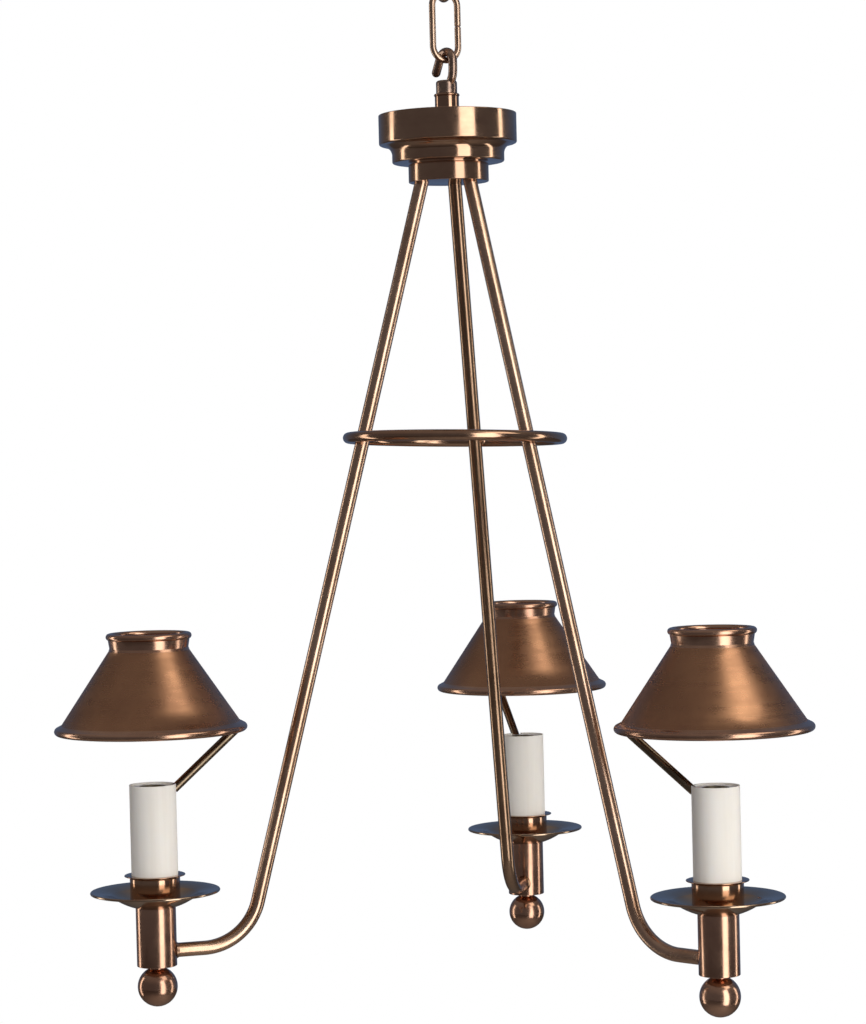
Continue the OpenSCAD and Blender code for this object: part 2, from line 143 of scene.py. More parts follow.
def roundEnd(path, radius, steps=8):
    points = [Vector(p) for p in path]
    radii = [radius] * len(points)
    ahead = (points[-1] - points[-2]).normalized()
    tip = points[-1]
    for i in range(1, steps + 1):
        a = math.pi / 2 * i / (steps + 0.4)
        points.append(tip + ahead * radius * math.sin(a))
        radii.append(radius * math.cos(a))
    return points, radii


def turned(points, turn):
    spin = Matrix.Rotation(math.radians(turn), 3, "Z")
    return [spin @ Vector(p) for p in points]


def joinAs(name, objs):
    for o in bpy.context.selected_objects:
        o.select_set(False)
    for o in objs:
        o.select_set(True)
    bpy.context.view_layer.objects.active = objs[0]
    bpy.ops.object.join()
    objs[0].name = name
    objs[0].data.name = name
    return objs[0]


# shader groups

def newGroup(name, inputs, outputs):
    group = bpy.data.node_groups.new(name, "ShaderNodeTree")
    for label, default in inputs:
        socket = group.interface.new_socket(label, in_out="INPUT", socket_type="NodeSocketFloat")
        socket.default_value = default
    for label in outputs:
        group.interface.new_socket(label, in_out="OUTPUT", socket_type="NodeSocketFloat")
    nodes = group.nodes
    return group, nodes, group.links, nodes.new("NodeGroupInput"), nodes.new("NodeGroupOutput")


def mathNode(nodes, links, operation, first, second):
    node = nodes.new("ShaderNodeMath")
    node.operation = operation
    for i, value in enumerate((first, second)):
        if isinstance(value, (int, float)):
            node.inputs[i].default_value = value
        else:
            links.new(value, node.inputs[i])
    return node.outputs[0]


def rangeNode(nodes, links, value, low, high, toLow, toHigh):
    node = nodes.new("ShaderNodeMapRange")
    links.new(value, node.inputs["Value"])
    for label, number in (("From Min", low), ("From Max", high), ("To Min", toLow), ("To Max", toHigh)):
        node.inputs[label].default_value = number
    return node.outputs["Result"]


def brushGroup():
    # fine lines round the upright axis, from height alone with a slow drift
    group, nodes, links, enter, leave = newGroup(
        "roundBrush", [("Fine", 900.0), ("Drift", 14.0)], ["Lines", "Bands"])
    coord = nodes.new("ShaderNodeTexCoord")
    split = nodes.new("ShaderNodeSeparateXYZ")
    links.new(coord.outputs["Object"], split.inputs[0])
    join = nodes.new("ShaderNodeCombineXYZ")
    links.new(mathNode(nodes, links, "MULTIPLY", split.outputs[0], enter.outputs["Drift"]), join.inputs[0])
    links.new(mathNode(nodes, links, "MULTIPLY", split.outputs[1], enter.outputs["Drift"]), join.inputs[1])
    links.new(mathNode(nodes, links, "MULTIPLY", split.outputs[2], enter.outputs["Fine"]), join.inputs[2])
    fine = nodes.new("ShaderNodeTexNoise")
    fine.inputs["Scale"].default_value = 2.2
    fine.inputs["Detail"].default_value = 3.0
    links.new(join.outputs[0], fine.inputs["Vector"])
    wide = nodes.new("ShaderNodeTexNoise")
    wide.inputs["Scale"].default_value = 0.3
    wide.inputs["Detail"].default_value = 2.0
    links.new(join.outputs[0], wide.inputs["Vector"])
    links.new(fine.outputs["Fac"], leave.inputs["Lines"])
    links.new(wide.outputs["Fac"], leave.inputs["Bands"])
    return group


def patinaGroup():
    group, nodes, links, enter, leave = newGroup(
        "patina", [("Cloud", 28.0), ("Speck", 420.0)], ["Mottle", "Specks", "Smudge"])
    coord = nodes.new("ShaderNodeTexCoord")
    cloud = nodes.new("ShaderNodeTexNoise")
    cloud.inputs["Detail"].default_value = 5.0
    cloud.inputs["Roughness"].default_value = 0.62
    links.new(coord.outputs["Object"], cloud.inputs["Vector"])
    links.new(enter.outputs["Cloud"], cloud.inputs["Scale"])
    speck = nodes.new("ShaderNodeTexVoronoi")
    links.new(coord.outputs["Object"], speck.inputs["Vector"])
    links.new(enter.outputs["Speck"], speck.inputs["Scale"])
    dots = rangeNode(nodes, links, speck.outputs["Distance"], 0.1, 0.2, 1.0, 0.0)
    gate = rangeNode(nodes, links, cloud.outputs["Fac"], 0.54, 0.62, 0.0, 1.0)
    smudge = nodes.new("ShaderNodeTexNoise")
    smudge.inputs["Scale"].default_value = 95.0
    smudge.inputs["Detail"].default_value = 3.0
    links.new(coord.outputs["Object"], smudge.inputs["Vector"])
    links.new(cloud.outputs["Fac"], leave.inputs["Mottle"])
    links.new(mathNode(nodes, links, "MULTIPLY", dots, gate), leave.inputs["Specks"])
    links.new(smudge.outputs["Fac"], leave.inputs["Smudge"])
    return group


roundBrush = brushGroup()
patina = patinaGroup()


def newMaterial(name):
    material = bpy.data.materials.new(name)
    material.use_nodes = True
    nodes, links = material.node_tree.nodes, material.node_tree.links
    return material, nodes, links, nodes["Principled BSDF"]


def mixColour(nodes, links, factor, first, second):
    node = nodes.new("ShaderNodeMix")
    node.data_type = "RGBA"
    links.new(factor, node.inputs["Factor"])
    for label, value in ((6, first), (7, second)):
        if isinstance(value, tuple):
            node.inputs[label].default_value = (*value, 1.0)
        else:
            links.new(value, node.inputs[label])
    return node.outputs[2]


def groupNode(nodes, group, **values):
    node = nodes.new("ShaderNodeGroup")
    node.node_tree = group
    for label, value in values.items():
        node.inputs[label].default_value = value
    return node


def makeMetal(name, settings):
    material, nodes, links, shader = newMaterial(name)
    old = groupNode(nodes, patina, Cloud=settings["cloud"])
    brush = groupNode(nodes, roundBrush, Fine=settings["fine"], Drift=settings["drift"])
    mottle = rangeNode(nodes, links, old.outputs["Mottle"], 0.36, 0.66, 0.0, 1.0)
    colour = mixColour(nodes, links, mottle, settings["dark"], settings["light"])
    streak = rangeNode(nodes, links, brush.outputs["Bands"], 0.35, 0.65, 0.0, settings["streak"])
    colour = mixColour(nodes, links, streak, colour, settings["dark"])
    speck = mathNode(nodes, links, "MULTIPLY", old.outputs["Specks"], settings["specks"])
    colour = mixColour(nodes, links, speck, colour, settings["speckColour"])
    links.new(colour, shader.inputs["Base Color"])
    shader.inputs["Metallic"].default_value = 1.0
    low, high = settings["rough"]
    smudged = rangeNode(nodes, links, old.outputs["Smudge"], 0.35, 0.7, low, high)
    spread = settings["lineRough"]
    lined = rangeNode(nodes, links, brush.outputs["Lines"], 0.3, 0.7, -spread, spread)
    links.new(mathNode(nodes, links, "ADD", smudged, lined), shader.inputs["Roughness"])
    bump = nodes.new("ShaderNodeBump")
    bump.inputs["Strength"].default_value = settings["bump"]
    bump.inputs["Distance"].default_value = 0.0002
    links.new(brush.outputs["Lines"], bump.inputs["Height"])
    links.new(bump.outputs["Normal"], shader.inputs["Normal"])
    if settings["stretch"]:
        tangent = nodes.new("ShaderNodeTangent")
        tangent.direction_type = "RADIAL"
        tangent.axis = "Z"
        shader.inputs["Anisotropic"].default_value = settings["stretch"]
        links.new(tangent.outputs[0], shader.inputs["Tangent"])
    return material


metalDefaults = {
    "cloud": 26.0, "fine": 900.0, "streak": 0.25, "specks": 0.5, "speckColour": (0.05, 0.03, 0.02),
    "lineRough": 0.02, "bump": 0.04, "stretch": 0.0, "drift": 2.0,
}
polishedBrass = makeMetal("polishedBrass", dict(
    metalDefaults, dark=(0.48, 0.29, 0.195), light=(0.66, 0.44, 0.3), rough=(0.1, 0.17), bump=0.0,
    stretch=0.3, specks=0.3))
satinBrass = makeMetal("satinBrass", dict(
    metalDefaults, dark=(0.53, 0.305, 0.21), light=(0.69, 0.43, 0.3), rough=(0.16, 0.23), bump=0.0,
    stretch=0.3, specks=0.2, lineRough=0.0, streak=0.1))
shadeBrass = makeMetal("shadeBrass", dict(
    metalDefaults, dark=(0.45, 0.235, 0.14), light=(0.6, 0.325, 0.185), rough=(0.26, 0.33), streak=0.35,
    lineRough=0.03, bump=0.015, stretch=0.55, fine=260.0, specks=0.1))
armBrass = makeMetal("armBrass", dict(
    metalDefaults, dark=(0.62, 0.395, 0.27), light=(0.82, 0.57, 0.42), rough=(0.22, 0.29), specks=0.25,
    streak=0.0, bump=0.0, lineRough=0.0))
# darker, rougher copy of the polished brass for the canopy's top cover: the darker colour is painted shade
# that keeps the key light's reflection on the top from shining white
coverShadedBrass = makeMetal("coverShadedBrass", dict(
    metalDefaults, dark=(0.3, 0.185, 0.12), light=(0.4, 0.26, 0.17), rough=(0.38, 0.46), bump=0.0,
    specks=0.2))
# darker copy of the arm brass for the back arm alone: painted shade, where that arm stands in shadow
armShadedBrass = makeMetal("armShadedBrass", dict(
    metalDefaults, dark=(0.36, 0.225, 0.145), light=(0.5, 0.33, 0.22), rough=(0.2, 0.27), specks=0.4,
    streak=0.0, bump=0.0, lineRough=0.0))
panBrass = makeMetal("panBrass", dict(
    metalDefaults, dark=(0.5, 0.36, 0.26), light=(0.64, 0.48, 0.34), rough=(0.1, 0.16), bump=0.02,
    specks=0.2))
linkWire = makeMetal("linkWire", dict(
    metalDefaults, dark=(0.6, 0.41, 0.29), light=(0.78, 0.56, 0.42), rough=(0.24, 0.3), specks=0.0, bump=0.0,
    lineRough=0.0))
darkBronze = makeMetal("darkBronze", dict(
    metalDefaults, dark=(0.26, 0.18, 0.15), light=(0.56, 0.39, 0.29), rough=(0.24, 0.32), cloud=160.0,
    streak=0.0, bump=0.0, lineRough=0.0, specks=0.0))
darkRod = makeMetal("darkRod", dict(
    metalDefaults, dark=(0.2, 0.15, 0.1), light=(0.34, 0.26, 0.18), rough=(0.22, 0.3), cloud=70.0, bump=0.0,
    lineRough=0.0, specks=0.0))
plainMetal = makeMetal("plainMetal", dict(
    metalDefaults, dark=(0.55, 0.47, 0.34), light=(0.72, 0.64, 0.48), rough=(0.25, 0.35)))


def makeIvory():
    settings = {"pale": (0.78, 0.755, 0.715), "warm": (0.7, 0.665, 0.61), "rough": 0.62}
    material, nodes, links, shader = newMaterial("candleIvory")
    coord = nodes.new("ShaderNodeTexCoord")
    stretch = nodes.new("ShaderNodeMapping")
    stretch.inputs["Scale"].default_value = (170.0, 170.0, 9.0)  # faint upright streaks
    links.new(coord.outputs["Object"], stretch.inputs["Vector"])
    noise = nodes.new("ShaderNodeTexNoise")
    noise.inputs["Scale"].default_value = 1.0
    noise.inputs["Detail"].default_value = 4.0
    links.new(stretch.outputs[0], noise.inputs["Vector"])
    streak = rangeNode(nodes, links, noise.outputs["Fac"], 0.38, 0.68, 0.0, 0.6)
    colour = mixColour(nodes, links, streak, settings["pale"], settings["warm"])
    links.new(colour, shader.inputs["Base Color"])
    shader.inputs["Roughness"].default_value = settings["rough"]
    shader.inputs["Subsurface Weight"].default_value = 0.12
    shader.inputs["Subsurface Radius"].default_value = (0.004, 0.003, 0.002)
    bump = nodes.new("ShaderNodeBump")
    bump.inputs["Strength"].default_value = 0.08
    bump.inputs["Distance"].default_value = 0.0004
    links.new(noise.outputs["Fac"], bump.inputs["Height"])
    links.new(bump.outputs["Normal"], shader.inputs["Normal"])
    return material


def makeInsulator():
    material, nodes, links, shader = newMaterial("insulator")
    old = groupNode(nodes, patina, Cloud=120.0)
    links.new(mixColour(nodes, links, old.outputs["Mottle"], (0.8, 0.78, 0.72), (0.88, 0.87, 0.83)),
              shader.inputs["Base Color"])
    links.new(rangeNode(nodes, links, old.outputs["Smudge"], 0.3, 0.7, 0.25, 0.4), shader.inputs["Roughness"])
    return material


candleIvory = makeIvory()
insulator = makeInsulator()
print("stage: materials")


def place(obj, material, slotName, body, *nodes):
    obj.data.materials.clear()
    obj.data.materials.append(material)
    if nodes:
        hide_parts(*nodes)
    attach(obj, body)
    return obj


# chain

def linkPath(topZ, turn):
    size = {"bend": 7.95, "limb": 23.0, "seam": 0.3}
    high = topZ - size["bend"]
    low = high - size["limb"]
    middle = (high + low) / 2
    flat = [(size["bend"], middle + size["seam"] / 2), (size["bend"], middle + 4)]
    flat += arcPoints(0, high, size["bend"], 0, 180, 36)
    flat += arcPoints(0, low, size["bend"], 180, 360, 36)
    flat += [(size["bend"], middle - 4), (size["bend"], middle - size["seam"] / 2)]
    return turned([(x, 0, z) for x, z in flat], turn)


def chamferEnds(path, radius, cut=0.35):
    points = [Vector(p) for p in path]
    radii = [radius - cut, radius] + [radius] * (len(points) - 2) + [radius, radius - cut]
    inFrom = points[0] + (points[1] - points[0]).normalized() * cut
    inTo = points[-1] + (points[-2] - points[-1]).normalized() * cut
    return [points[0], inFrom] + points[1:-1] + [inTo, points[-1]], radii


wireRadius = 1.85
linkSettings = (
    ("upperLink", level["linkTop"], -52.0, "ceiling_link", "upper_link"),
    ("lowerLink", level["linkTwoTop"], 38.0, "chain_link", "lower_link"),
)
for name, top, turn, body, node in linkSettings:
    path, radii = chamferEnds(linkPath(top, turn), wireRadius)
    place(sweep(name, path, radii, segments=32), linkWire, "link_wire", body, node)


# hook with its boss

def makeHook():
    size = {"wire": 2.55, "bend": 6.3, "rise": 10.1, "open": 153.0, "tip": 8.4, "turn": -40.0,
            "boss": 6.05, "round": 1.5, "taper": 0.7, "taperLong": 0.35}
    eye = level["bossTop"] + size["rise"]
    root = [(3.3, -3.0), (3.9, -1.2), (4.9, 0.5), (5.7, 2.2), (6.15, 4.2), (6.3, 6.5)]  # out of the boss
    flat = [(x, level["bossTop"] + z) for x, z in root] + [(size["bend"], eye)]
    flat += arcPoints(0, eye, size["bend"], 0, size["open"], 40)[1:]
    lean = math.radians(size["open"])
    x, z = flat[-1]
    flat.append((x - size["tip"] * math.sin(lean), z + size["tip"] * math.cos(lean)))  # slanting tip
    path, radii = roundEnd(turned([(x, 0, z) for x, z in flat], size["turn"]), size["wire"])
    start = path[0] - Vector((0, 0, size["wire"] * size["taperLong"]))  # tapered foot, hidden in the boss
    wire = sweep("hookWire", [start] + path, [size["wire"] * size["taper"]] + radii)
    r, top, low = size["boss"], level["bossTop"], level["bossBottom"]
    edge = size["round"]
    profile = [(0, low), (r, low)] + arcPoints(r - edge, top - edge, edge, 0, 90, 10)
    boss = lathe("hookBoss", profile + [(0, top)], closed=False, segments=96)
    return joinAs("hangingHook", [wire, boss])


place(makeHook(), darkBronze, "dark_bronze", "chandelier", "hanging_hook")


def makeCollar():
    size = {"r": 6.9, "foot": 0.5, "footTall": 0.7, "bead": 0.9, "beadIn": 0.45, "bore": 4.0}
    low, high = level["canopyTop"], level["bossBottom"]
    profile = [(size["bore"], low), (size["r"] + size["foot"], low), (size["r"], low + size["footTall"])]
    profile += arcPoints(size["r"] - size["beadIn"], high - size["bead"], size["bead"], -60, 90, 14)
    return lathe("hookCollar", profile + [(size["bore"], high)])


place(makeCollar(), polishedBrass, "polished_brass", "chandelier", "hook_collar")


def makeCanopy():
    size = {"r": 39.6, "edge": 1.0, "cove": 6.0, "coveX": 38.2, "wall": 1.5, "bore": 4.0,
            "topEdge": 0.4, "ease": 0.2}
    top, low, coveZ = level["canopyTop"], level["canopyBottom"], level["coveZ"]
    neck = size["coveX"] - size["cove"]
    wallLow = coveZ + size["cove"]
    edge, topEdge = size["edge"], size["topEdge"]
    profile = [(size["bore"], low)]
    profile += arcPoints(neck - edge, low + edge, edge, -90, 0, 8)
    profile += arcPoints(size["coveX"], coveZ, size["cove"], 180, 90, 24)
    profile += arcPoints(size["r"] - edge, wallLow + edge, edge, -90, 0, 8)
    profile += arcPoints(size["r"] - topEdge, top - topEdge, topEdge, 0, 90, 5)
    profile += [(size["r"] - size["wall"], top), (size["r"] - size["wall"], wallLow + size["wall"])]
    inCove = size["cove"] + size["wall"] - size["ease"]
    profile += arcPoints(size["coveX"] - size["ease"], coveZ, inCove, 90, 180, 16)
    profile += [(neck - size["wall"], low + size["wall"]), (size["bore"], low + size["wall"])]
    return lathe("canopyBody", profile, segments=192, sharpAngle=38)


place(makeCanopy(), polishedBrass, "polished_brass", "chandelier", "canopy_body")


def makeCover():
    size = {"r": 38.1, "bore": 4.0, "thick": 1.5, "edge": 0.2}
    top, edge = level["canopyTop"], size["edge"]
    profile = [(size["bore"], top - size["thick"]), (size["r"], top - size["thick"]),
               (size["r"], top - edge), (size["r"] - edge, top), (size["bore"], top)]
    return lathe("canopyCover", profile, segments=192)


# the top cover takes the darkened brass, painted shade on its top
place(makeCover(), coverShadedBrass, "polished_brass", "chandelier", "canopy_cover")


def makePlate():
    size = {"r": 23.0, "step": 0.8, "neck": 21.5, "bore": 4.0, "edge": 0.5, "floor": 2}
    low, high = level["plateBottom"], level["canopyBottom"]
    shoulder = high - size["step"]
    profile = [(0, low)] + arcPoints(size["r"] - size["edge"], low + size["edge"], size["edge"], -90, 0, 6)
    profile += arcPoints(size["r"] - size["edge"], shoulder - size["edge"], size["edge"], 0, 90, 6)
    profile += [(size["neck"], shoulder), (size["neck"], high), (size["bore"], high),
                (size["bore"], low + size["floor"]), (0, low + size["floor"])]
    return lathe("armPlate", profile, closed=False, segments=160)


place(makePlate(), polishedBrass, "polished_brass", "chandelier", "arm_plate")
print("stage: chain, hook and canopy")

# arms and their tie ring
armSize = {"r": 4.0, "topR": 16.3, "drop": 429.7, "corner": 129.7, "bend": 32.5, "end": 175.8, "socket": 7.0,
           "steps": 24, "brazeOut": 1.1, "brazeIn": 0.5, "brazeThin": 0.05, "brazeFat": 1.0}
armTilt = math.atan((armSize["corner"] - armSize["topR"]) / armSize["drop"])
bendSweep = math.pi / 2 - armTilt
bendX = armSize["corner"] + armSize["bend"] * math.tan(bendSweep / 2)


def makeArm(side):
    start = (armSize["topR"] - armSize["socket"] * math.sin(armTilt),
             level["plateBottom"] + armSize["socket"] * math.cos(armTilt))
    curve = arcPoints(bendX, level["armLow"] + armSize["bend"], armSize["bend"],
                      180 + math.degrees(armTilt), 270, 30)
    flat = [start]
    runX, runZ = curve[0][0] - start[0], curve[0][1] - start[1]
    for i in range(1, armSize["steps"]):
        share = i / armSize["steps"]
        flat.append((start[0] + runX * share, start[1] + runZ * share))
    flat += curve + [(bendX + 8, level["armLow"]), (armSize["end"], level["armLow"])]
    path = turned([(x, 0, z) for x, z in flat], lampTurn[side])
    tube = sweep("arm_" + side, path, [armSize["r"]] * len(path), segments=48)
    wall = lampRadius - stemRadius
    braze = (wall - armSize["brazeOut"], wall + armSize["brazeIn"])  # braze where the arm meets the stem
    bead = turned([(x, 0, level["armLow"]) for x in braze], lampTurn[side])
    radii = [armSize["r"] + armSize["brazeThin"], armSize["r"] + armSize["brazeFat"]]
    fillet = sweep("fillet_" + side, bead, radii, segments=48)
    return joinAs("arm_" + side, [tube, fillet])


for side in lampTurn:
    # the back arm takes the darker copy of the arm brass, painted shade
    finish = armShadedBrass if side == "back" else armBrass
    place(makeArm(side), finish, "arm_brass", "chandelier", "arm_tube_" + side, "arm_elbow_" + side)


def makeRing():
    size = {"wire": 3.1, "saddle": 1.0, "drop": 147.0, "segments": 180, "nod": 1.9, "lean": 1.1,
            "solderIn": 1.6, "solderFrom": 2.6, "solderStep": 0.55,
            "solder": [2.1, 2.3, 2.3, 2.1, 1.9, 1.6, 1.2]}
    radius = (armSize["topR"] + size["drop"] * math.tan(armTilt)
              + (armSize["r"] + size["wire"] - size["saddle"]) / math.cos(armTilt))
    path = []
    for i in range(size["segments"]):
        a = 2 * math.pi * i / size["segments"]
        path.append((radius * math.cos(a), radius * math.sin(a), level["ring"]))
    ring = sweep("tieRing", path, [size["wire"]] * len(path), closed=True, segments=36)
    blobs = [ring]
    solderR = radius - size["solderIn"]
    for turn in lampTurn.values():
        for way in (-1, 1):
            spots = []
            for k in range(len(size["solder"])):
                a = math.radians(turn + way * (size["solderFrom"] + size["solderStep"] * k))
                spots.append((solderR * math.cos(a), solderR * math.sin(a), level["ring"]))
            blobs.append(sweep("solder", spots, size["solder"], segments=20))
    ring = joinAs("tieRing", blobs)
    middle = Vector((0, 0, level["ring"] * mm))
    nod = Matrix.Rotation(math.radians(-size["nod"]), 4, "X")
    lean = Matrix.Rotation(math.radians(size["lean"]), 4, "Y")
    there, back = Matrix.Translation(middle), Matrix.Translation(-middle)
    ring.data.transform(there @ (nod @ lean) @ back)  # brazed on a little askew
    return ring


place(makeRing(), polishedBrass, "arm_brass", "chandelier", "tie_ring")
print("stage: arms and ring")


# lamps

def makeStem(side):
    size = {"edge": 0.35}
    low, high = level["stemBottom"], level["stemTop"]
    edge = size["edge"]
    profile = [(0, low)] + arcPoints(stemRadius - edge, low + edge, edge, -90, 0, 5)
    profile += arcPoints(stemRadius - edge, high - edge, edge, 0, 90, 5) + [(0, high)]
    return lathe("stemBody_" + side, profile, lampCentre(side), closed=False)


def makeBall(side):
    size = {"r": 11.15, "neck": 4.5}
    rise = math.degrees(math.acos(size["neck"] / size["r"]))
    profile = arcPoints(0, level["ballZ"], size["r"], -90, rise, 64)
    profile[0] = (0, level["ballZ"] - size["r"])
    profile += [(size["neck"], level["stemBottom"]), (0, level["stemBottom"])]
    return lathe("ballFinial_" + side, profile, lampCentre(side), closed=False, segments=112)


def makePan(side):
    size = {"r": 36.2, "bowl": 24.5, "foot": 12.0, "depth": 9.3, "flange": 2.0, "wall": 0.9, "edge": 0.75,
            "bore": 5.0}
    rise = size["depth"] - size["flange"] - size["wall"]
    centreZ = (size["bowl"] ** 2 - size["foot"] ** 2 + rise ** 2) / (2 * rise)
    radius = math.hypot(size["foot"], centreZ)
    start = math.degrees(math.asin(size["foot"] / radius)) - 90
    end = math.degrees(math.asin(size["bowl"] / radius)) - 90
    under = arcPoints(0, centreZ, radius, start, end, 20)
    rimX = size["r"] - size["edge"]
    edge = arcPoints(rimX, size["depth"] - size["edge"], size["edge"], -75, 90, 14)
    over = [(x, z + size["wall"]) for x, z in reversed(under)]
    flat = [(size["bore"], 0)] + under + edge + over + [(size["bore"], size["wall"])]
    profile = [(x, z + level["stemTop"]) for x, z in flat]
    return lathe("dripPan_" + side, profile, lampCentre(side), segments=176, sharpAngle=28)


def makeCup(side):
    size = {"inner": 13.3, "r": 14.0, "chamfer": 2.2, "lip": 17.0, "lipThick": 0.6, "fillet": 1.2,
            "bore": 5.0}
    low, lip = level["cupBottom"], level["lip"]
    filletZ = lip - size["lipThick"] - size["fillet"]
    profile = [(size["bore"], low), (size["r"] - size["chamfer"], low), (size["r"], low + size["chamfer"])]
    profile += arcPoints(size["r"] + size["fillet"], filletZ, size["fillet"], 180, 90, 10)
    half = size["lipThick"] / 2
    profile += arcPoints(size["lip"] - half, lip - half, half, -90, 90, 8)
    profile += [(size["inner"], lip), (size["inner"], level["cupFloor"]), (size["bore"], level["cupFloor"])]
    return lathe("candleCup_" + side, profile, lampCentre(side))


carrierSize = {"r": 2.5, "drop": 2.5, "beadR": 51.6, "stop": 1.2, "ease": 0.9, "back": 1.2, "bandR": 12.3,
               "bandEase": 0.05}
rodZ = level["candleTop"] - carrierSize["drop"]
carrierTilt = math.atan((level["bead"] - rodZ) / (carrierSize["beadR"] - candleRadius))


def makeCandle(side):
    size = {"inner": 12.3, "gap": 0.3, "segments": 288, "rows": 8}
    low, high = level["candleBottom"], level["candleTop"]
    notch = carrierSize["r"] + size["gap"]
    centre = lampCentre(side)
    spin = math.radians(lampTurn[side] + carrierTurn[side])
    verts, faces = [], []
    columns = size["rows"] + 1
    for wall in (candleRadius, size["inner"]):
        for i in range(size["segments"]):
            a = 2 * math.pi * i / size["segments"]
            across = wall * math.sin(a)
            top = high
            if math.cos(a) > 0 and abs(across) < notch:
                deep = math.sqrt(notch ** 2 - across ** 2) / math.cos(carrierTilt)
                along = wall * math.cos(a) - candleRadius
                top = rodZ + along * math.tan(carrierTilt) - deep  # notch for the rod
            for k in range(columns):
                z = low + (top - low) * k / size["rows"]
                x, y = wall * math.cos(a + spin), wall * math.sin(a + spin)
                verts.append((centre[0] + x, centre[1] + y, z))
    half = size["segments"] * columns
    for i in range(size["segments"]):
        j = (i + 1) % size["segments"]
        for k in range(size["rows"]):
            a, b = i * columns + k, j * columns + k
            faces.append((a, b, b + 1, a + 1))
            faces.append((half + a, half + a + 1, half + b + 1, half + b))
        a, b = i * columns, j * columns
        faces.append((a, half + a, half + b, b))
        a, b = a + size["rows"], b + size["rows"]
        faces.append((a, b, half + b, half + a))
    return finishMesh("candleTube_" + side, verts, faces, 40)


def makeHolder(side):
    size = {"r": 11.2, "body": 30.0, "shoulder": 11.9, "shoulderTall": 3, "band": 9.3, "stalk": 7.5,
            "foot": 10.0, "footTall": 5, "well": 7.45, "wellDeep": 22.0, "edge": 0.5, "bore": 5.0,
            "boreTall": 8, "wire": 1.5}
    top, low = level["holderTop"], level["cupFloor"]
    r, stalk, shoulder, edge = size["r"], size["stalk"], size["shoulder"], size["edge"]
    bodyLow, band = top - size["body"], top - size["band"]
    step, wellLow = band - size["shoulderTall"], top - size["wellDeep"]
    footTop, boreTop = low + size["footTall"], low + size["boreTall"]
    profile = [(size["bore"], low), (size["foot"], low), (size["foot"], footTop), (stalk, footTop),
               (stalk, bodyLow), (r, bodyLow), (r, step), (shoulder, step),
               (shoulder, band), (r, band), (r, top - edge), (r - edge, top),
               (size["well"], top), (size["well"], wellLow), (size["wire"], wellLow),
               (size["wire"], boreTop), (size["bore"], boreTop)]
    return lathe("holderBody_" + side, profile, lampCentre(side))


def makeCarrier(side):
    size = {"inner": 11.25, "tall": 9.0, "steps": 8}
    top, outer = level["holderTop"], carrierSize["bandR"]
    low = top - size["tall"]
    centre = lampCentre(side)
    band = lathe("band", [(size["inner"], low), (outer, low), (outer, top), (size["inner"], top)], centre)
    ahead = (math.cos(carrierTilt), math.sin(carrierTilt))
    slant = (carrierSize["beadR"] - candleRadius) / math.cos(carrierTilt)
    length = slant - carrierSize["stop"] - carrierSize["ease"]
    flat = []
    for i in range(size["steps"] + 1):
        t = -carrierSize["back"] + (length + carrierSize["back"]) * i / size["steps"]
        flat.append((candleRadius + ahead[0] * t, 0, rodZ + ahead[1] * t))
    spin = lampTurn[side] + carrierTurn[side]
    path = [p + Vector((*centre, 0)) for p in turned(flat, spin)]
    rod = sweep("rod", path, [carrierSize["r"]] * len(path), segments=36)
    return joinAs("shadeCarrier_" + side, [band, rod])


shadeSize = {
    "cone": 51.9, "neck": 22.0, "coneTall": 44.5, "neckTall": 7.2, "wall": 0.8, "low": 2.1, "top": 1.9,
    "lowR": 51.6, "crease": 0.6, "creaseRise": 0.9, "insideTop": 4.8, "insideDrop": 0.4,
    "insideMid": (36.07, 0.5), "insideLow": (48.9, 0.069), "satinFrom": 3.2, "satinTo": 44.4,
}


def makeShade(side):
    size = shadeSize
    base, neckZ, neck = level["bead"], size["coneTall"], size["neck"]
    lean = size["cone"] - neck
    slope = math.degrees(math.atan2(neckZ, -lean))
    out = arcPoints(size["lowR"], 0, size["low"], -150, slope - 58, 28)
    cone = [(size["cone"] - lean * t, neckZ * t) for t in (0.075, 0.3, 0.6, 0.9, 0.985)]
    turn = arcPoints(neck + size["crease"], neckZ + size["creaseRise"], size["crease"], 218, 180, 5)
    bead = arcPoints(neck, neckZ + size["neckTall"], size["top"], -68, 248, 36)
    inner = neck - size["wall"]
    inside = [(inner, neckZ + size["insideTop"]), (inner, neckZ - size["insideDrop"])]
    inside += [(x, neckZ * share) for x, share in (size["insideMid"], size["insideLow"])]
    profile = [(x, z + base) for x, z in out + cone + turn + bead + inside]
    return lathe("shadeCone_" + side, profile, lampCentre(side), segments=224, sharpAngle=30)


for side in lampTurn:
    turning = "turning_shade_" + side
    place(makeStem(side), satinBrass, "polished_brass", "chandelier", "stem_" + side)
    place(makeBall(side), satinBrass, "polished_brass", "chandelier", "ball_finial_" + side)
    place(makePan(side), panBrass, "pan_brass", "chandelier", "drip_pan_" + side)
    place(makeCup(side), polishedBrass, "polished_brass", "chandelier", "candle_cup_" + side)
    place(makeHolder(side), insulator, "insulator", "chandelier", "lampholder_" + side)
    place(makeCandle(side), candleIvory, "candle_ivory", turning, "candle_tube_" + side)
    carrier = place(makeCarrier(side), darkRod, "dark_rod", turning, "shade_carrier_" + side)
    carrier.data.materials.append(insulator)
    middle = Vector((*lampCentre(side), 0))
    bandLimit = carrierSize["bandR"] + carrierSize["bandEase"]
    for face in carrier.data.polygons:  # the band inside the candle is pale
        face.material_index = 1 if (face.center / mm - middle).xy.length < bandLimit else 0
    shade = place(makeShade(side), shadeBrass, "shade_brass", turning, "shade_" + side)
    shade.data.materials.append(satinBrass)
    for face in shade.data.polygons:  # beads and neck are smoother than the cone
        up = face.center.z / mm - level["bead"]
        face.material_index = 0 if shadeSize["satinFrom"] < up < shadeSize["satinTo"] else 1
print("stage: lamps")

